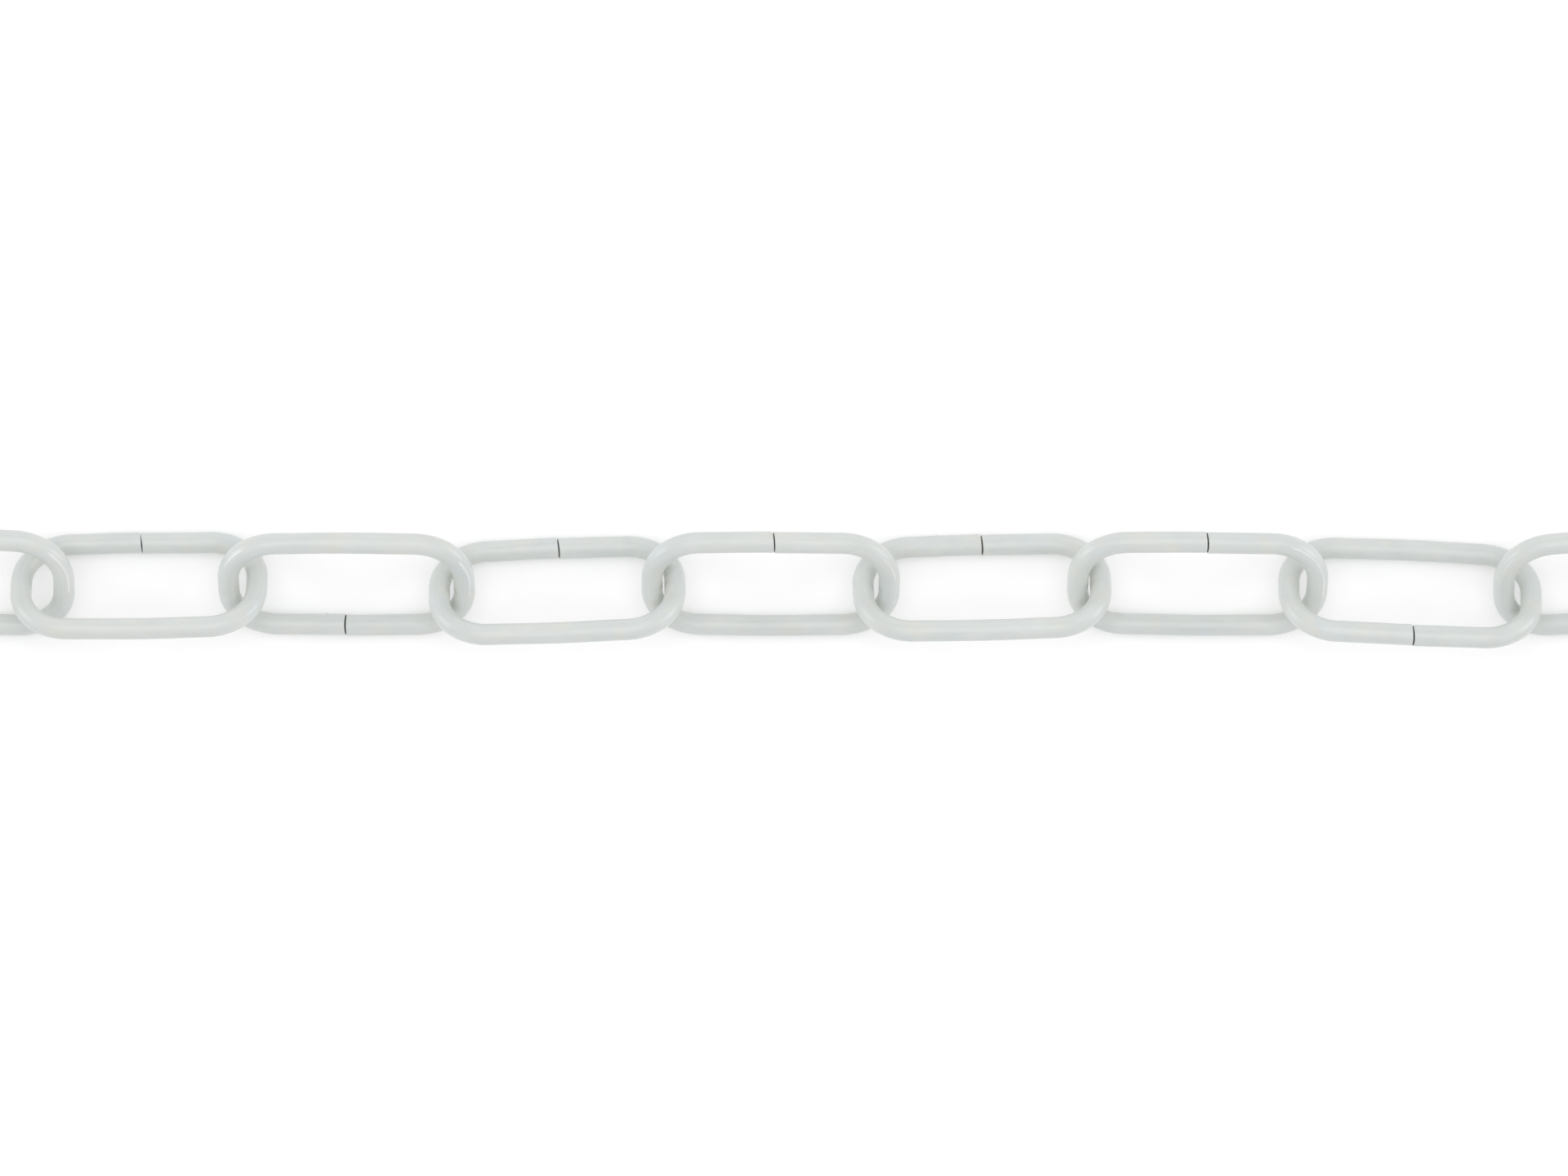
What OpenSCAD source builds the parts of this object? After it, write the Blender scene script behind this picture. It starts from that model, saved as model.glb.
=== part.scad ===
// Lamp chain of open wire links, lying slack on a table.
// Each link is bent from one round wire, whose two ends butt against each other
// half-way along an arm and aren't welded. Neighbouring links lean to opposite sides.
// The straight run across the middle is the stretch that the photograph shows. At each
// end the rest of the chain turns a corner and lies as a tail.

/* [Chain] */
// Number of links, odd so that one of them lies in the middle
link_count = 21; // [11:2:31]

/* [Link] */
// Diameter of the painted wire
wire_d = 2.8; // [2:0.1:3.2]
// Inside length of a usual link
inner_l = 28.4; // [26:0.1:36]
// Inside width of a link
inner_w = 12; // [11:0.1:15]
// Straight stretch of wire across each end of a link
crown_flat = 2; // [1:0.1:4]

/* [Butt joint] */
// How much further in the tighter bent of the two wire ends lies
butt_step = 0.15; // [0.04:0.01:0.3]
// Gap between the two wire ends
butt_gap = 0.2; // [0.1:0.02:0.4]

/* [Lay] */
// Lean of the links about their long axes, in degrees from flat
lean = 42; // [38:1:52]
// Slack between two neighbouring wires in the tails
tail_slack = 0.7; // [0.5:0.1:1]
// Turn at each junction of the two corners, in degrees
corner_turn = 45; // [15:5:45]
// Heading of the tails against the straight run, in degrees
tail_heading = 90; // [0:15:90]

/* [Hidden] */
$fn = 48;

// How much longer than a usual one each link of the straight run is bent, from left to right
run_longer = [0, -0.2, -0.2, -0.2, 0, 0, 0.3, 0.7, 0];

// How these links lie: the turn of each one seen from above and what it leans more or less
// than the rest, in degrees
run_turn = [-2.5, 1, 0, 2.2, 0, 1.5, -0.5, -2.3, 4];
run_lean = [-1, -1, 2, 0, 1, -1, 1, -0.5, 1.5];

// Slack at each junction of the straight run, and how far the link on its right lies
// to the side of the one on its left
run_slack = [2.8, 0.9, 0.5, 0.2, 0.6, 0.2, 0.9, 0.8];
run_shift = [-0.4, -0.1, -1.3, 0.3, -0.8, 0.2, -0.5, 1.3];

// Where each link of the straight run is cut: on its far (1) or near (-1) arm, how far
// from half-way, and how many degrees the cut is off square in the two directions
butt_arm = [1, 1, -1, 1, 1, 1, 1, -1, 1];
butt_off = [0.4, 0, 0.2, 0.1, 0.3, 0.2, 0.8, -0.1, -0.2];
butt_tilt = [-6, 3, 5, 3, 8, 3, 7, -4, 8];
butt_skew = [5, 8, 5, 8, -2, 6, -3, 5, -2];

wire_r = wire_d / 2;
middle = (link_count - 1) / 2;
run_half = (len(run_turn) - 1) / 2;

// The centreline of the wire: its width, the radius of its four bends, which leave a
// straight crown at each end, and the tighter radius that brings one wire end further in
line_w = inner_w + wire_d;
bend_r = (line_w - crown_flat) / 2;
tight_bend_r = bend_r - butt_step;

// How much wire a cut takes off, and the size of the block that it takes away
cut_spare = wire_d;
cut_block = 3 * wire_d;

function unit(v) = v / norm(v);
function ahead(angle) = [cos(angle), sin(angle)];
function leftwards(v) = [-v.y, v.x];

// How far a link lies from the middle one, and how far past the straight run
function place_in_run(i) = i - middle + run_half;
function pick(values, i) = let (n = len(values)) values[(place_in_run(i) + n * link_count) % n];
function past_run(i) = max(0, abs(i - middle) - run_half);
function in_run(j) = place_in_run(j) >= 0 && place_in_run(j) < len(run_slack);

// How far the crowns of link i lie from its centre
function end_x(i) = (inner_l + pick(run_longer, i) + wire_d) / 2;

// The lay of link i: its heading seen from above and its lean
function heading(i) = pick(run_turn, i)
    - sign(i - middle) * min(tail_heading, corner_turn * past_run(i));
function lean_of(i) = (abs(i - middle) % 2 == 0 ? 1 : -1) * (lean + pick(run_lean, i));

// The way from the centre of link j to that of the next one
function slack(j) = in_run(j) ? run_slack[place_in_run(j)] : tail_slack;
function shift(j) = in_run(j) ? run_shift[place_in_run(j)] : 0;
function onwards(j) =
    let (both = end_x(j) * ahead(heading(j)) + end_x(j + 1) * ahead(heading(j + 1)), way = unit(both))
    both - (wire_d + slack(j)) * way + shift(j) * leftwards(way);
function centre(i) =
    i == middle ? [0, 0]
    : i > middle ? centre(i - 1) + onwards(i - 1)
    : centre(i + 1) - onwards(i);

// Half of the space that a link takes up along a direction seen from above, and its
// height above the table: the reach of a leaning rectangle with round corners
function along(i, way) = abs(ahead(heading(i)) * way);
function across(i, way) = abs(leftwards(ahead(heading(i))) * way) * cos(lean_of(i));
function half_space(i, way) =
    (end_x(i) - bend_r) * along(i, way) + crown_flat / 2 * across(i, way)
    + bend_r * norm([along(i, way), across(i, way)]) + wire_r;
function height(i) = line_w / 2 * sin(abs(lean_of(i))) + wire_r;

// The origin lies on the table under the middle of the box that holds the whole chain
function low(way) = min([for (i = [0 : link_count - 1]) centre(i) * way - half_space(i, way)]);
function high(way) = max([for (i = [0 : link_count - 1]) centre(i) * way + half_space(i, way)]);
function box_middle(way) = (low(way) + high(way)) / 2;
origin = [box_middle([1, 0]), box_middle([0, 1])];

// The straight wire across the right end of a link whose crowns lie end_x from its centre
module crown(end_x) {
    translate([end_x, 0, 0])
        rotate([90, 0, 0])
            cylinder(d = wire_d, h = crown_flat, center = true);
}

// The bend from the right crown to the far arm, on a radius of its own
module bend(end_x, r) {
    translate([end_x - r, crown_flat / 2, 0])
        rotate_extrude(angle = 90)
            translate([r, 0])
                circle(d = wire_d);
}

// The far arm from the end of such a bend to a place x
module arm_from_bend(end_x, r, x) {
    translate([end_x - r, crown_flat / 2 + r, 0])
        rotate([0, -90, 0])
            cylinder(d = wire_d, h = end_x - r - x);
}

// The bend and the piece of arm that lead from the right crown to a wire end
module wire_end(end_x, r, cut_x, tilt, skew) {
    bend(end_x, r);
    difference() {
        arm_from_bend(end_x, r, cut_x - cut_spare);
        translate([cut_x + butt_gap / 2, crown_flat / 2 + r, 0])
            rotate([0, tilt, skew])
                translate([-cut_block / 2, 0, 0])
                    cube(cut_block, center = true);
    }
}

// One link in its own frame: its length along X, its width along Y, its cut in the arm
// at +Y. The wire end on the right is bent tighter and lies further in.
module link_wire(end_x, cut_x, tilt, skew) {
    crown(end_x);
    wire_end(end_x, tight_bend_r, cut_x, tilt, skew);
    mirror([1, 0, 0]) {
        crown(end_x);
        wire_end(end_x, bend_r, -cut_x, -tilt, -skew);
    }
    mirror([0, 1, 0]) {
        bend(end_x, bend_r);
        arm_from_bend(end_x, bend_r, bend_r - end_x);
        mirror([1, 0, 0])
            bend(end_x, bend_r);
    }
}

module link(i) {
    color("#d8dcda")
        translate([centre(i).x - origin.x, centre(i).y - origin.y, height(i)])
            rotate([0, 0, heading(i)])
                rotate([lean_of(i), 0, 0])
                    rotate([0, 0, pick(butt_arm, i) > 0 ? 0 : 180])
                        link_wire(end_x(i), pick(butt_off, i), pick(butt_tilt, i), pick(butt_skew, i));
}

for (i = [0 : link_count - 1])
    link(i);
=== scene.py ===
"""Looks for the lamp chain. Each link is swept anew as one painted wire, round the place, the
directions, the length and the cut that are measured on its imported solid, and rides on it."""

import math

import bpy
import numpy as np
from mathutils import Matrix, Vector


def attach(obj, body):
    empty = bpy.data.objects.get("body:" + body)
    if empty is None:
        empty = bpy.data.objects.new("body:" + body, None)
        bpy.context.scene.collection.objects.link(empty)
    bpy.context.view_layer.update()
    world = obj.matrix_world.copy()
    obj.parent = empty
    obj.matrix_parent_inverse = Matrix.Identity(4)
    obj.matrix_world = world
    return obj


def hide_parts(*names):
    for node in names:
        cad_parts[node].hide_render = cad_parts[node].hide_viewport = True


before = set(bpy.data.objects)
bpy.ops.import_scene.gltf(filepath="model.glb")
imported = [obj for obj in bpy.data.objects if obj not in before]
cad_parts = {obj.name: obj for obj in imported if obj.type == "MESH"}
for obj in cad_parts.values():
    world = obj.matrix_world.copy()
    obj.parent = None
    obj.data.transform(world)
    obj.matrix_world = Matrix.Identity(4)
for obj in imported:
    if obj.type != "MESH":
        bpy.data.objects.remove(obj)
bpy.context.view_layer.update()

MM = 0.001

# The wire, as in the solids: its radius and its centreline's width, straight crowns, bends
# and arms, which lie this far to both sides of the link's middle
WIRE_R = 1.4 * MM
LINE_W = 14.8 * MM
CROWN_FLAT = 2 * MM
BEND_R = (LINE_W - CROWN_FLAT) / 2
ARM_Y = LINE_W / 2

# How a cut face is told on a solid: how far at most it lies from half-way along the link, and
# how squarely it faces along it, as a cosine
FLAT_REACH = 3 * MM
FLAT_FACING = 0.95

# How the bent wire departs from straight arms: the loose wire end and the whole arm bow
# outwards, the other wire end is held further in and bows less, and the link is out of flat
TIGHTER = 0.06 * MM
BOW = 0.08 * MM
TIGHT_BOW = 0.03 * MM
BOW_SPAN = 22 * MM
WARP = 0.025 * MM

# How finely the wire's centreline is told: the step between its points, how far to either
# side its direction is looked for, every how many points one is kept to lay painted shade on
# the neighbours, and how many places along it are tried for a nib
LINE_STEP = 0.05 * MM
LINE_REACH = 0.15 * MM
LINE_THINNING = 6
NIB_PLACES = 2000

# A cut wire end: its rounded edge, the bead of paint beside it, the paint on its face that
# narrows the gap, how far the face is curved, and how far from the cut its slant fades out
EDGE_R = 0.08 * MM
BEAD = 0.012 * MM
BEAD_PLACE = 0.35 * MM
BEAD_SPREAD = 0.2 * MM
END_PAINT = 0.01 * MM
CUT_CURVE = 0.12 * MM
SLANT_FADE = (0.5 * MM, 3.5 * MM)

# The slow unevenness of the paint film: height, length of a wave over two pi, and waves round
# the wire, then how far from a wire end it sets in, and the random seed of the first link
UNEVEN = [(0.006 * MM, 5.3 * MM, 1), (0.005 * MM, 2.9 * MM, -2), (0.004 * MM, 1.7 * MM, 3)]
UNEVEN_FADE = (0.3 * MM, 2 * MM)
FIRST_SEED = 100

# One ring of the mesh round the wire: how many points it has, their numbers, the number that
# follows each of them, and their angles from the outer side of the link
AROUND = 40
RING = np.arange(AROUND)
RING_NEXT = (RING + 1) % AROUND
RING_ANGLE = RING * 2 * np.pi / AROUND

# The rings along the wire: how far apart they lie, where closer ones lie from the wire ends
# and from a nib, the least step between two, and the smaller rings that fill a cut face,
# as shares of its rim, with the number of points that they and its middle are
RING_STEP = 0.42 * MM
END_RINGS = np.array([0, 0.012, 0.03, 0.06, 0.1, 0.16, 0.26, 0.42, 0.7, 1.0]) * MM
NIB_RINGS = np.arange(-6, 7) * 0.1 * MM
LEAST_STEP = 0.009 * MM
CAP_SHARES = [0.92, 0.5]
CAP_SIZE = len(CAP_SHARES) * AROUND + 1

# Nibs of paint that the photograph shows: how far along X from the link's centre, on which
# arm as seen from above (1 is the far one), which way they point, and their height and
# spread, all lengths in mm
NIBS = {
    "link_08": [(-1.25, 1, (0, 0.8, 0.6), 0.07, 0.16)],
    "link_09": [(-2.8, -1, (0, 1, 0.1), 0.13, 0.2)],
    "link_12": [(-5.9, 1, (0, 1, 0.2), 0.1, 0.18)],
    "link_14": [(0.75, -1, (0, -0.1, 1), 0.09, 0.16)],
}

# Paint pools on the inner side of the bends: how far from the crowns that starts and is full
FILM_FADE = (1.4 * BEND_R, 0.4 * BEND_R)

# A broken pale streak painted round the raised bends of every other link, on the face that
# lies up: a painted highlight. All angles are in degrees: its half width round the wire and
# how it fades at both ends, then for the left and the right bend of four such links in turn
# where it starts and ends on the bend, from the crown, its place round the wire, from the
# outer side, and, not an angle, its strength. The first of the four is the link with this
# number, from 0
HIGHLIGHT_HALF = 20
HIGHLIGHT_FADE = 14
HIGHLIGHT_BENDS = [
    ((14, 64, 42, 1.0), (-28, 46, 56, 1.0)),
    ((20, 60, 50, 0.75), (-8, 62, 56, 0.85)),
    ((45, 80, 48, 0.7), (-30, 78, 54, 0.95)),
    ((10, 60, 50, 0.8), (-22, 60, 56, 1.05)),
]
FIRST_HIGHLIT = 8

# Painted shade under the wire of a neighbour that crosses: how far from its middle it fades
# out, and how far below it, where it starts and where it ends
SHADE_BESIDE = (1.2 * MM, 2.7 * MM)
SHADE_UNDER = (0.6 * MM, 1.6 * MM, 3.2 * MM, 5.2 * MM)

# The noises of the paint: whether each one lies in the link's own space or in that of its
# straightened wire, how many waves it has in a metre (in the second space along the wire and
# twice through it), its detail and its roughness. In the second space the links lie so far
# apart that each has a pattern of its own
NOISES = {
    "drift": ("place", (55, 55, 55), 2, 0.5),
    "warm": ("place", (330, 330, 330), 3, 0.5),
    "cool": ("straight", (240, 400, 400), 3, 0.5),
    "mottle": ("straight", (260, 520, 520), 4, 0.6),
    "streak": ("straight", (90, 1500, 1500), 3, 0.6),
    "peel": ("straight", (1300, 1500, 1500), 2, 0.5),
    "broken": ("straight", (220, 2600, 2600), 3, 0.6),
}
STRAIGHT_APART = 0.1

# The colour of the enamel and the layers over it, from slow drifts of tone, pooled paint,
# painted shade under crossing wires and a painted highlight to the cut faces painted
# near-black as shade in the gap: what each one follows, between which values of it the layer
# comes in, how much it covers in full, and its colour. The painted highlight streaks are
# broken up by this much of their noise
ENAMEL = (0.640, 0.677, 0.664)
LAYERS = [
    ("drift", 0.3, 0.7, 1.0, (0.682, 0.702, 0.678)),
    ("warm", 0.5, 0.72, 1.0, (0.698, 0.698, 0.642)),
    ("cool", 0.5, 0.72, 1.0, (0.640, 0.688, 0.698)),
    ("mottle", 0.4, 0.7, 0.6, (0.725, 0.748, 0.730)),
    ("streak", 0.45, 0.75, 0.4, (0.590, 0.624, 0.608)),
    ("film", 0.2, 1.0, 0.3, (0.640, 0.650, 0.590)),
    # Painted shade under a neighbour's crossing wire
    ("crossing_shade", 0.0, 1.0, 0.8, (0.370, 0.395, 0.350)),
    # Painted highlight streak on the raised bends
    ("painted_highlight", 1.05, 1.35, 0.9, (0.830, 0.845, 0.835)),
    # The cut faces, painted near-black as the shade in the butt gap
    ("cut_face_shade", 0.0, 1.0, 1.0, (0.035, 0.034, 0.032)),
]
HIGHLIGHT_BROKEN = 0.9

# The roughness follows the mottle with this much of the streaks, between these two values of
# the sum, and the cut faces, painted near-black as the shade in the gap, are this much
# rougher. Over it lies a thin clear coat
ROUGH_STREAKS = 0.5
ROUGH_BETWEEN = (0.5, 1.1)
ROUGHNESS = (0.28, 0.42)
CUT_FACE_ROUGHER = 0.4
COAT = 0.3
COAT_ROUGHNESS = 0.14

# The fine relief of the paint: its peel with so much of the mottle and the streaks, how
# strongly it shows, and how deep it goes
RELIEF = {"mottle": 1.2, "streak": 0.5}
RELIEF_STRENGTH = 0.35
RELIEF_DEPTH = 0.02 * MM

# The table shows white to the camera and still takes the chain's faint shadow. Far off, where
# the lamps reach it less, it glows a little more: how much near the chain and far off, and
# between which distances it grows. Last come its width and how far below the chain it lies
FLOOR_COLOUR = 0.95
FLOOR_LIFT = 0.15
FAR_LIFT = 0.35
FLOOR_FADE = (0.4, 1.2)
FLOOR_SIZE = 6.0
FLOOR_DROP = 0.1 * MM

# The camera looks straight down, a little to the right of the middle link
MIDDLE_LINK = "link_11"
CAMERA_HEIGHT = 1.06
CAMERA_SENSOR = 36
CAMERA_LENS = 185
CAMERA_CLIP = (0.05, 20)
CAMERA_OFF = (1.755 * MM, -0.54 * MM)

# Soft light: an even surround, a wide lamp overhead, a faint one low down behind the chain,
# and a broad one low down at each side. For each lamp: its place, its width and its power
SURROUND = 0.735
LAMPS = {
    "top": ((0, 0.15, 1.7), 1.6, 6.2),
    "far": ((0, 1.67, 0.35), 0.6, 0.5),
    "left": ((-1.55, 0.3, 0.5), 0.85, 4.0),
    "right": ((1.55, 0.3, 0.5), 0.85, 4.0),
}


def triangles(mesh):
    """The corners of a mesh's triangles, as one array."""
    mesh.calc_loop_triangles()
    points = np.empty(len(mesh.vertices) * 3, np.float32)
    mesh.vertices.foreach_get("co", points)
    corners = np.empty(len(mesh.loop_triangles) * 3, np.int32)
    mesh.loop_triangles.foreach_get("vertices", corners)
    return points.reshape(-1, 3).astype(float)[corners.reshape(-1, 3)]


def measure(name):
    """Where a link lies: its centre, its directions (along, across to the cut arm, and out of
    its plane), how far its crowns lie from the centre, and the place and slants of each cut."""
    tri = triangles(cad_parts[name].data)
    normal = np.cross(tri[:, 1] - tri[:, 0], tri[:, 2] - tri[:, 0]) / 2
    area = np.linalg.norm(normal, axis=1)
    tri, normal, area = tri[area > 0], normal[area > 0], area[area > 0]
    normal /= area[:, None]
    middle = tri.mean(1)
    centroid = area @ middle / area.sum()

    # The principal directions of the surface
    rel = tri - centroid
    total = rel.sum(1)
    spread = np.einsum("t,tki,tkj->ij", area, rel, rel)
    spread += np.einsum("t,ti,tj->ij", area, total, total)
    _, across, along = np.linalg.eigh(spread)[1].T

    def mean(values, chosen):
        return area[chosen] @ values[chosen] / area[chosen].sum()

    # The flat faces of the two wire ends tell the arm that is cut and the tighter end
    flat = (abs(normal @ along) > FLAT_FACING) & (abs((middle - centroid) @ along) < FLAT_REACH)
    if mean((middle - centroid) @ across, flat) < 0:
        across = -across
    facing = normal @ along
    out = (middle - centroid) @ across
    if mean(out, flat & (facing > 0)) < mean(out, flat & (facing < 0)):
        along = -along
        facing = -facing
    axes = np.array([along, across, np.cross(along, across)])

    local = ((tri - centroid) @ axes.T).reshape(-1, 3)
    centre = centroid + (local.max(0) + local.min(0)) / 2 @ axes
    end_x = np.ptp(local[:, 0]) / 2 - WIRE_R
    cuts = []
    for face in (flat & (facing > 0), flat & (facing < 0)):
        n = axes @ np.array([mean(normal[:, k], face) for k in range(3)])
        cuts.append((mean((middle - centre) @ axes[0], face), -n[1] / n[0], -n[2] / n[0]))
    return {"centre": centre, "axes": axes, "end_x": end_x, "cuts": cuts}


def smooth_step(x, low, high):
    """0 up to the low value, 1 from the high one on, and a smooth rise between them."""
    t = np.clip((x - low) / (high - low), 0, 1)
    return t * t * (3 - 2 * t)


def centreline(end_x, left_x, right_x):
    """The wire's centreline as many points, from its left end round to its right end."""
    points = []

    def line(a, b):
        count = max(2, int(np.hypot(b[0] - a[0], b[1] - a[1]) / LINE_STEP))
        points.extend(np.linspace(a, b, count, endpoint=False))

    def arc(x, y, r, start, end):
        count = int(r * math.radians(abs(end - start)) / LINE_STEP)
        t = np.radians(np.linspace(start, end, count, endpoint=False))
        points.extend(np.column_stack([x + r * np.cos(t), y + r * np.sin(t)]))

    top = CROWN_FLAT / 2
    bend_x = end_x - BEND_R
    tight_r = BEND_R - TIGHTER
    tight_x = end_x - tight_r
    line((left_x, ARM_Y), (-bend_x, ARM_Y))
    arc(-bend_x, top, BEND_R, 90, 180)
    line((-end_x, top), (-end_x, -top))
    arc(-bend_x, -top, BEND_R, 180, 270)
    line((-bend_x, -ARM_Y), (bend_x, -ARM_Y))
    arc(bend_x, -top, BEND_R, 270, 360)
    tight_from = len(points)
    line((end_x, -top), (end_x, top))
    arc(tight_x, top, tight_r, 0, 90)
    line((tight_x, top + tight_r), (right_x, top + tight_r))
    points.append((right_x, top + tight_r))
    p = np.array(points)

    bow = np.where(np.arange(len(p)) < tight_from, BOW, TIGHT_BOW)
    p[:, 1] += bow * np.cos(2 * np.pi * p[:, 0] / BOW_SPAN) * p[:, 1] / ARM_Y
    return p


class Wire:
    """The bent wire of one link, told by distances along it."""

    def __init__(self, lay):
        left, right = lay["cuts"]
        self.lay = lay
        self.line = centreline(lay["end_x"], left[0] + END_PAINT, right[0] - END_PAINT)
        steps = np.linalg.norm(np.diff(self.line, axis=0), axis=1)
        self.lengths = np.concatenate([[0], np.cumsum(steps)])
        self.total = self.lengths[-1]

    def at(self, s):
        """The centreline's points at these distances along it, in the link's plane."""
        return np.column_stack([np.interp(s, self.lengths, self.line[:, k]) for k in (0, 1)])

    def outwards(self, s):
        """The direction in the link's plane that points away from its inside."""
        ahead = self.at(np.minimum(s + LINE_REACH, self.total))
        tangent = ahead - self.at(np.maximum(s - LINE_REACH, 0))
        tangent /= np.linalg.norm(tangent, axis=1)[:, None]
        side = np.column_stack([-tangent[:, 1], tangent[:, 0]])
        return side * np.sign((side * self.at(s)).sum(1))[:, None]

    def to_world(self, local):
        """Points of the link's own frame, where the link lies."""
        return self.lay["centre"] + local @ self.lay["axes"]

    def world_line(self):
        """A few hundred points of the centreline, where the link lies."""
        line = self.line[::LINE_THINNING]
        return self.to_world(np.column_stack([line, np.zeros(len(line))]))


def find_nibs(wire, wanted):
    """Where the nibs lie: the distance along the wire, the spot on its skin, height and spread."""
    s = np.linspace(0, wire.total, NIB_PLACES)
    line = wire.to_world(np.column_stack([wire.at(s), np.zeros(len(s))]))
    centre = wire.lay["centre"]
    found = []
    for x, side, way, height, spread in wanted:
        fits = np.where((line[:, 1] - centre[1]) * side > 0)[0]
        nearest = fits[np.argmin(abs(line[fits, 0] - centre[0] - x * MM))]
        way = np.array(way) / np.linalg.norm(way)
        found.append((s[nearest], line[nearest] + WIRE_R * way, height * MM, spread * MM))
    return found


def ring_places(total, nibs):
    """Distances along the wire at which it gets a ring."""
    last = END_RINGS[-1]
    even = np.linspace(last, total - last, int(total / RING_STEP))
    by_nibs = [np.clip(place + NIB_RINGS, last, total - last) for place, *_ in nibs]

    # Rounded to a nanometre, so that equal places fall together
    s = np.unique(np.concatenate([END_RINGS, total - END_RINGS, even, *by_nibs]).round(9))
    s = s[np.concatenate([[True], np.diff(s) > LEAST_STEP])]
    s[-1] = total
    return s


def radius_at(from_end):
    """The wire's radius by the distance from its nearer end: a rounded edge and a bead."""
    rounding = np.clip(EDGE_R - from_end, 0, EDGE_R)
    radius = WIRE_R - EDGE_R + np.sqrt(EDGE_R ** 2 - rounding ** 2)
    return radius + BEAD * np.exp(-((from_end - BEAD_PLACE) / BEAD_SPREAD) ** 2)


def skin(wire, s, rng):
    """The rings of the wire's surface in the link's frame, and how each ring lies in the wire."""
    point, side = wire.at(s), wire.outwards(s)
    from_end = np.minimum(s, wire.total - s)
    phase = rng.uniform(0, 2 * np.pi, len(UNEVEN) + 1)
    uneven = sum(
        height * np.sin(s[:, None] / length + phase[k] + turns * RING_ANGLE)
        for k, (height, length, turns) in enumerate(UNEVEN)
    )
    r = radius_at(from_end)[:, None] + uneven * smooth_step(from_end, *UNEVEN_FADE)[:, None]
    out, up = r * np.cos(RING_ANGLE), r * np.sin(RING_ANGLE)
    warp = WARP * np.sin(2 * np.pi * s / wire.total + phase[-1])

    rings = np.empty((len(s), AROUND, 3))
    rings[:, :, :2] = point[:, None] + side[:, None] * out[:, :, None]
    rings[:, :, 2] = warp[:, None] + up

    # Both ends are slanted as the cut is, and a little curved
    across = out * side[:, 1, None]
    curve_across, curve_up = rng.uniform(-CUT_CURVE, CUT_CURVE, 2)
    curve = curve_across * (across / WIRE_R) ** 2 + curve_up * (up / WIRE_R) ** 2
    for (_, slant_across, slant_up), distance in zip(wire.lay["cuts"], (s, wire.total - s)):
        share = 1 - smooth_step(distance, *SLANT_FADE)
        rings[:, :, 0] += share[:, None] * (slant_across * across + slant_up * up + curve)
    hubs = np.column_stack([point, warp])
    return rings, np.repeat(hubs, AROUND, 0), out, up


def film_share(point):
    """How much paint pools on each point of the rings: on the inner side of the bends."""
    towards_inside = np.clip(-np.cos(RING_ANGLE), 0, 1)
    from_centre = abs(point[:, 0])
    starts, full = from_centre.max() - FILM_FADE[0], from_centre.max() - FILM_FADE[1]
    return (smooth_step(from_centre, starts, full)[:, None] * towards_inside).ravel()


def highlight_share(number, lay, point):
    """How near each point of the rings lies to the middle of the painted highlight streak."""
    past_first = number - FIRST_HIGHLIT
    if past_first % 2:
        return np.zeros(len(point) * AROUND)
    along, across, face = lay["axes"]
    past_crown = np.sign(across[2]) * point[:, 1] - CROWN_FLAT / 2
    turn = np.degrees(np.arctan2(past_crown, abs(point[:, 0]) - lay["end_x"] + BEND_R))
    to_right = point[:, 0] * along[0] > 0
    left, right = np.array(HIGHLIGHT_BENDS[past_first // 2 % len(HIGHLIGHT_BENDS)])
    start, end, place, strength = np.where(to_right[:, None], right, left).T
    comes_in = smooth_step((turn - start) / HIGHLIGHT_FADE, 0, 1)
    goes_out = smooth_step((end - turn) / HIGHLIGHT_FADE, 0, 1)
    window = comes_in * goes_out * strength
    off = (RING * 360 / AROUND - np.sign(face[2]) * place[:, None] + 180) % 360 - 180
    return (window[:, None] * np.clip(1 - abs(off) / HIGHLIGHT_HALF, 0, 1)).ravel()


def under_wire_shade(points, over):
    """How much painted shade each point gets: how closely it lies under a neighbour's wire that
    crosses just above it.
    """
    flat = np.linalg.norm(points[:, None, :2] - over[None, :, :2], axis=2)
    nearest = flat.argmin(1)
    beside = flat[np.arange(len(points)), nearest]
    above = over[nearest, 2] - points[:, 2]
    share = 1 - smooth_step(beside, *SHADE_BESIDE)
    return share * smooth_step(above, *SHADE_UNDER[:2]) * (1 - smooth_step(above, *SHADE_UNDER[2:]))


def raise_nibs(points, hubs, nibs):
    """The skin with its nibs, which stand out away from the wire's centreline."""
    away = points - hubs
    away /= np.linalg.norm(away, axis=1)[:, None]
    for _, spot, height, spread in nibs:
        distance = np.linalg.norm(points - spot, axis=1)
        points = points + away * (height * np.exp(-(distance / spread) ** 2))[:, None]
    return points


def with_caps(points):
    """The rings' points, then those inside the first ring and the last one, which close the
    wire: smaller rings and a middle point each."""
    caps = []
    for rim in (points[:AROUND], points[-AROUND:]):
        hub = rim.mean(0)
        caps += [hub + (rim - hub) * share for share in CAP_SHARES] + [[hub]]
    return np.concatenate([points, *caps])


def tube_faces(count):
    """The faces between the wire's rings."""
    faces = []
    for here in range(0, (count - 1) * AROUND, AROUND):
        there = here + AROUND
        faces.extend(zip(here + RING, there + RING, there + RING_NEXT, here + RING_NEXT))
    return faces


def cap_faces(rim, inside, turned):
    """The faces that close the wire, by the first point of its rim and the first one inside."""
    faces = []
    outer = rim
    for inner in range(inside, inside + len(CAP_SHARES) * AROUND, AROUND):
        faces.extend(zip(outer + RING, outer + RING_NEXT, inner + RING_NEXT, inner + RING))
        outer = inner
    faces.extend(zip(outer + RING, outer + RING_NEXT, np.full(AROUND, outer + AROUND)))
    return [face[::-1] if turned else face for face in faces]


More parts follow.
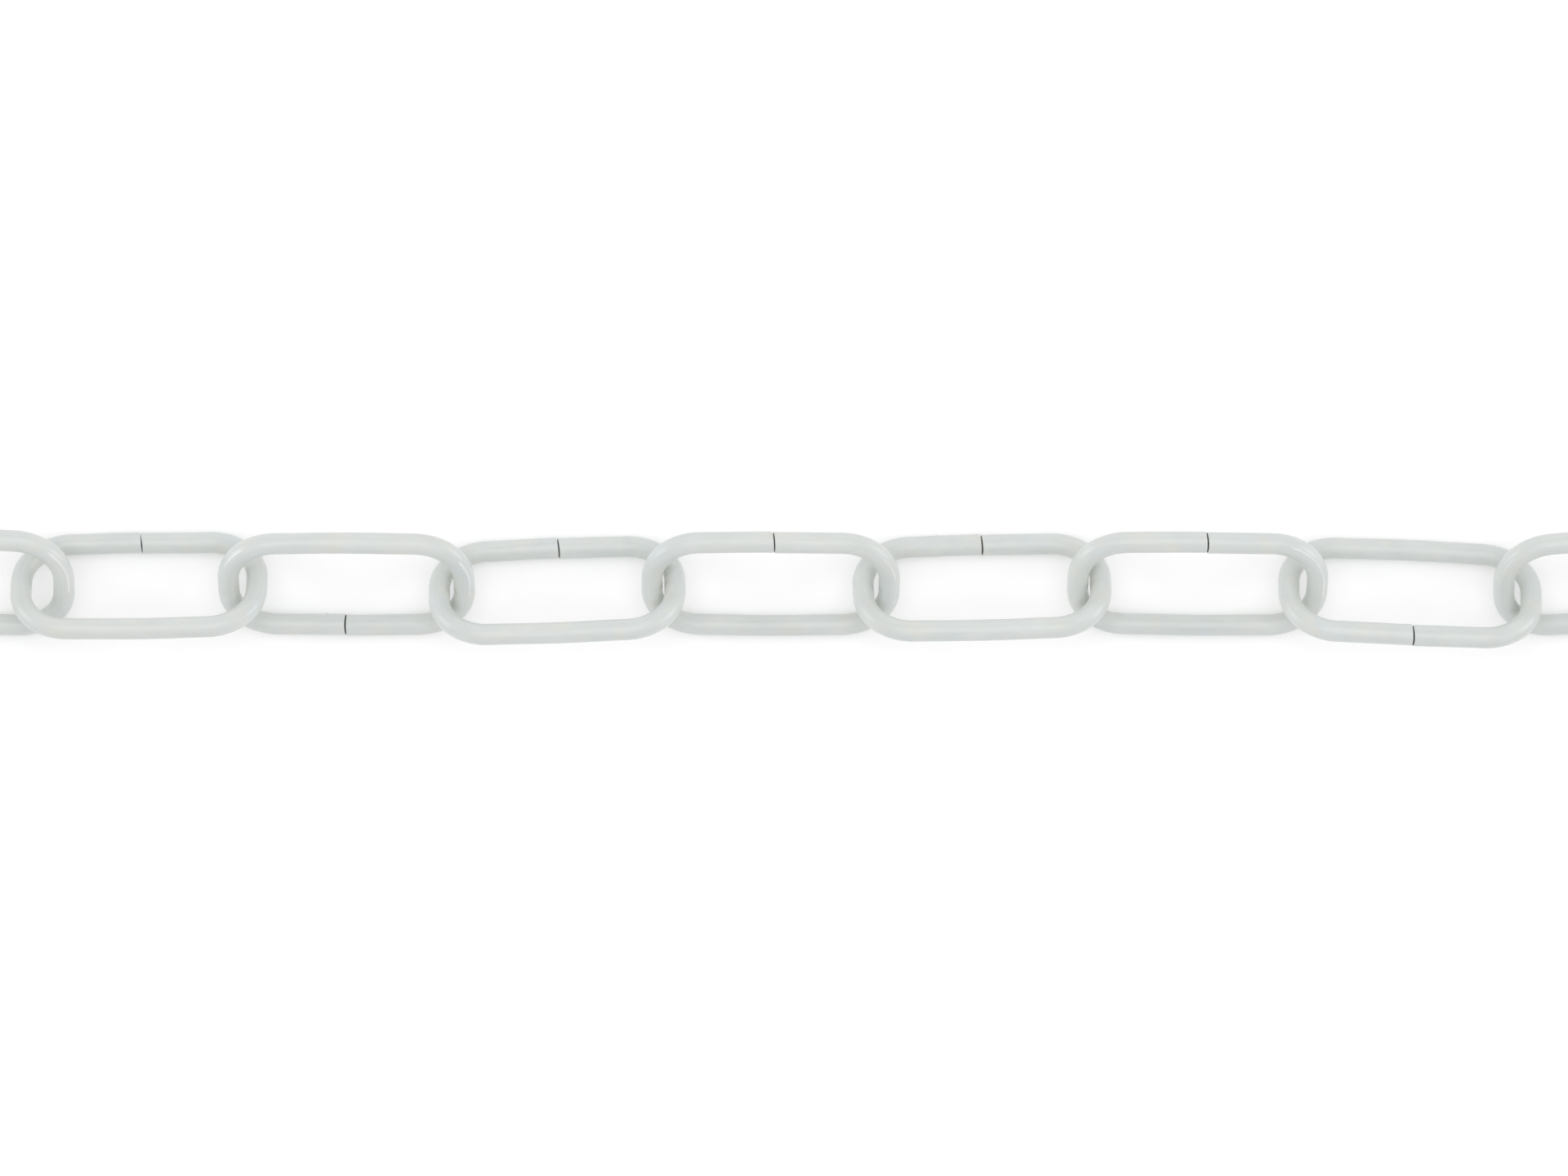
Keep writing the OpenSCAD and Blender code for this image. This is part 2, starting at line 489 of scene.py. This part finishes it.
def link_mesh(name, number, wire, beside):
    """The mesh of one link's wire, with what its paint needs kept on its points: the place in
    the straightened wire, and the shares of pooled paint, the painted highlight, painted shade
    under crossing wires and the near-black painted shade of the cut faces."""
    nibs = find_nibs(wire, NIBS.get(name, []))
    s = ring_places(wire.total, nibs)
    rings, hubs, out, up = skin(wire, s, np.random.RandomState(FIRST_SEED + number))
    points = wire.to_world(rings.reshape(-1, 3))
    along = np.repeat(s[:, None], AROUND, 1) + number * STRAIGHT_APART
    straight = np.dstack([along, out, up]).reshape(-1, 3)

    count = len(points)
    on_caps = np.zeros(2 * CAP_SIZE)
    # Painted shade where a neighbour's wire crosses just above
    crossing_shade = np.max([under_wire_shade(points, line) for line in beside], axis=0)
    shares = {
        "film": np.append(film_share(wire.at(s)), on_caps),
        # Painted highlight streak on the raised bends
        "painted_highlight": np.append(highlight_share(number, wire.lay, wire.at(s)), on_caps),
        # Painted shade under crossing wires
        "crossing_shade": np.append(crossing_shade, on_caps),
        # The cut faces, painted near-black as the shade in the butt gap
        "cut_face_shade": np.append(np.zeros(count), on_caps + 1),
    }

    points = raise_nibs(points, wire.to_world(hubs), nibs)
    faces = tube_faces(len(s))
    faces += cap_faces(0, count, False)
    faces += cap_faces(count - AROUND, count + CAP_SIZE, True)
    faces = [tuple(map(int, face)) for face in faces]

    mesh = bpy.data.meshes.new(name + "_wire")
    mesh.from_pydata(with_caps(points).tolist(), [], faces)
    mesh.validate()
    mesh.shade_smooth()
    vector = mesh.attributes.new("straight", "FLOAT_VECTOR", "POINT")
    vector.data.foreach_set("vector", with_caps(straight).astype(np.float32).ravel())
    for label, values in shares.items():
        kept = mesh.attributes.new(label, "FLOAT", "POINT")
        kept.data.foreach_set("value", values.astype(np.float32))
    mesh.update()
    return mesh


def node(tree, kind, **settings):
    """A new shader node of a kind, with its settings made."""
    made = tree.nodes.new(kind)
    for key, value in settings.items():
        setattr(made, key, value)
    return made


def attribute(tree, name, output="Fac"):
    """What is kept on the mesh's points under a name."""
    return node(tree, "ShaderNodeAttribute", attribute_name=name).outputs[output]


def noise(tree, vector, scale, detail, roughness):
    """A noise texture on a vector that is scaled first."""
    scaled = node(tree, "ShaderNodeVectorMath", operation="MULTIPLY")
    scaled.inputs[1].default_value = scale
    tree.links.new(vector, scaled.inputs[0])
    texture = node(tree, "ShaderNodeTexNoise")
    texture.inputs["Scale"].default_value = 1
    texture.inputs["Detail"].default_value = detail
    texture.inputs["Roughness"].default_value = roughness
    tree.links.new(scaled.outputs[0], texture.inputs["Vector"])
    return texture.outputs["Fac"]


def spread_to(tree, value, low, high, to_low, to_high):
    """A value mapped from one range to another and kept inside it."""
    mapped = node(tree, "ShaderNodeMapRange")
    limits = {"From Min": low, "From Max": high, "To Min": to_low, "To Max": to_high}
    for name, limit in limits.items():
        mapped.inputs[name].default_value = limit
    tree.links.new(value, mapped.inputs["Value"])
    return mapped.outputs["Result"]


def cover(tree, under, share, colour):
    """A colour laid over what is under it, as far as the share says. The mix node has sockets
    for other kinds of data too, which are off."""
    mixed = node(tree, "ShaderNodeMix", data_type="RGBA")
    factor, first, second = (socket for socket in mixed.inputs if socket.enabled)
    tree.links.new(share, factor)
    tree.links.new(under, first)
    second.default_value = (*colour, 1)
    return next(socket for socket in mixed.outputs if socket.enabled)


def add(tree, a, b, share=1.0):
    """a + b x share."""
    made = node(tree, "ShaderNodeMath", operation="MULTIPLY_ADD")
    tree.links.new(b, made.inputs[0])
    made.inputs[1].default_value = share
    tree.links.new(a, made.inputs[2])
    return made.outputs[0]


def new_material(name):
    """A new material, its node tree and the output node in that."""
    material = bpy.data.materials.new(name)
    material.use_nodes = True
    tree = material.node_tree
    tree.nodes.clear()
    return material, tree, node(tree, "ShaderNodeOutputMaterial")


def paint():
    """Pale grey-white enamel on drawn wire, with a painted highlight on raised bends, painted
    shade under crossing wires and the cut faces painted near-black as shade in the gap.
    """
    material, tree, out = new_material("enamel")
    shader = node(tree, "ShaderNodeBsdfPrincipled")
    tree.links.new(shader.outputs[0], out.inputs[0])

    # All that a layer can follow: the noises, and what the mesh keeps on its points
    spaces = {
        "place": node(tree, "ShaderNodeTexCoord").outputs["Object"],
        "straight": attribute(tree, "straight", "Vector"),
    }
    followed = {
        name: noise(tree, spaces[space], scale, detail, roughness)
        for name, (space, scale, detail, roughness) in NOISES.items()
    }
    for name in ("film", "crossing_shade", "painted_highlight", "cut_face_shade"):
        followed[name] = attribute(tree, name)
    # The painted highlight streak, broken up by noise
    followed["painted_highlight"] = add(tree, followed["painted_highlight"], followed["broken"], HIGHLIGHT_BROKEN)

    base = node(tree, "ShaderNodeRGB")
    base.outputs[0].default_value = (*ENAMEL, 1)
    colour = base.outputs[0]
    for name, low, high, most, tint in LAYERS:
        colour = cover(tree, colour, spread_to(tree, followed[name], low, high, 0, most), tint)
    tree.links.new(colour, shader.inputs["Base Color"])

    rough = add(tree, followed["mottle"], followed["streak"], ROUGH_STREAKS)
    rough = spread_to(tree, rough, *ROUGH_BETWEEN, *ROUGHNESS)
    # The cut faces, painted near-black as the shade in the gap, are rougher
    rough = add(tree, rough, followed["cut_face_shade"], CUT_FACE_ROUGHER)
    tree.links.new(rough, shader.inputs["Roughness"])
    shader.inputs["Coat Weight"].default_value = COAT
    shader.inputs["Coat Roughness"].default_value = COAT_ROUGHNESS

    height = followed["peel"]
    for name, share in RELIEF.items():
        height = add(tree, height, followed[name], share)
    bump = node(tree, "ShaderNodeBump")
    bump.inputs["Strength"].default_value = RELIEF_STRENGTH
    bump.inputs["Distance"].default_value = RELIEF_DEPTH
    tree.links.new(height, bump.inputs["Height"])
    tree.links.new(bump.outputs[0], shader.inputs["Normal"])
    return material


def seen_directly(tree):
    """1 for what the camera, a reflection or a refraction sees, 0 for the light itself."""
    path = node(tree, "ShaderNodeLightPath")
    total = path.outputs["Is Camera Ray"]
    for name in ("Is Glossy Ray", "Is Transmission Ray"):
        total = add(tree, total, path.outputs[name])
    return spread_to(tree, total, 0, 1, 0, 1)


def table_material():
    """A white table: it takes the chain's shadow, and shows white to the camera."""
    material, tree, out = new_material("table")
    both = node(tree, "ShaderNodeAddShader")
    matt = node(tree, "ShaderNodeBsdfDiffuse")
    matt.inputs["Color"].default_value = (FLOOR_COLOUR, FLOOR_COLOUR, FLOOR_COLOUR, 1)
    distance = node(tree, "ShaderNodeVectorMath", operation="LENGTH")
    tree.links.new(node(tree, "ShaderNodeTexCoord").outputs["Object"], distance.inputs[0])
    level = spread_to(tree, distance.outputs["Value"], *FLOOR_FADE, FLOOR_LIFT, FAR_LIFT)
    lift = node(tree, "ShaderNodeMath", operation="MULTIPLY")
    tree.links.new(level, lift.inputs[0])
    tree.links.new(seen_directly(tree), lift.inputs[1])
    glow = node(tree, "ShaderNodeEmission")
    tree.links.new(lift.outputs[0], glow.inputs["Strength"])
    tree.links.new(matt.outputs[0], both.inputs[0])
    tree.links.new(glow.outputs[0], both.inputs[1])
    tree.links.new(both.outputs[0], out.inputs[0])
    return material


def add_links():
    """Sweeps the wire of every link and returns how the links lie."""
    enamel = paint()
    names = sorted(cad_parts)
    wires = [Wire(measure(name)) for name in names]
    lines = [wire.world_line() for wire in wires]
    for number, (name, wire) in enumerate(zip(names, wires)):
        beside = lines[max(number - 1, 0):number] + lines[number + 1:number + 2]
        piece = bpy.data.objects.new(name + "_wire", link_mesh(name, number, wire, beside))
        bpy.context.scene.collection.objects.link(piece)
        piece.data.materials.append(enamel)
        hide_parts(name)
        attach(piece, name)
    return {name: wire.lay for name, wire in zip(names, wires)}


def add_table():
    """The table that the chain lies on, which is no piece of it."""
    bpy.ops.mesh.primitive_plane_add(size=FLOOR_SIZE, location=(0, 0, -FLOOR_DROP))
    table = bpy.context.object
    table.name = "table_top"
    table.data.materials.append(table_material())


def add_camera(target):
    """A camera nearly straight above a point, which looks straight down."""
    data = bpy.data.cameras.new("camera")
    data.sensor_width = CAMERA_SENSOR
    data.lens = CAMERA_LENS
    data.clip_start, data.clip_end = CAMERA_CLIP
    camera = bpy.data.objects.new("camera", data)
    camera.location = Vector(target) + Vector((*CAMERA_OFF, CAMERA_HEIGHT))
    bpy.context.scene.collection.objects.link(camera)
    bpy.context.scene.camera = camera


def add_lamp(name, place, size, power):
    """A round area lamp that points at the origin."""
    data = bpy.data.lights.new(name, "AREA")
    data.shape = "DISK"
    data.size = size
    data.energy = power
    lamp = bpy.data.objects.new(name, data)
    lamp.location = place
    lamp.rotation_euler = (-Vector(place)).to_track_quat("-Z", "Y").to_euler()
    bpy.context.scene.collection.objects.link(lamp)


def add_surround():
    """Even light from all sides, white where it is seen directly."""
    world = bpy.data.worlds.new("studio")
    bpy.context.scene.world = world
    world.use_nodes = True
    tree = world.node_tree
    tree.nodes.clear()
    background = node(tree, "ShaderNodeBackground")
    background.inputs["Color"].default_value = (1, 1, 1, 1)
    level = spread_to(tree, seen_directly(tree), 0, 1, SURROUND, 1)
    tree.links.new(level, background.inputs["Strength"])
    out = node(tree, "ShaderNodeOutputWorld")
    tree.links.new(background.outputs[0], out.inputs[0])


links = add_links()
add_table()
add_camera(links[MIDDLE_LINK]["centre"])
for name, (place, size, power) in LAMPS.items():
    add_lamp(name, place, size, power)
add_surround()
bpy.context.scene.view_settings.view_transform = "Standard"
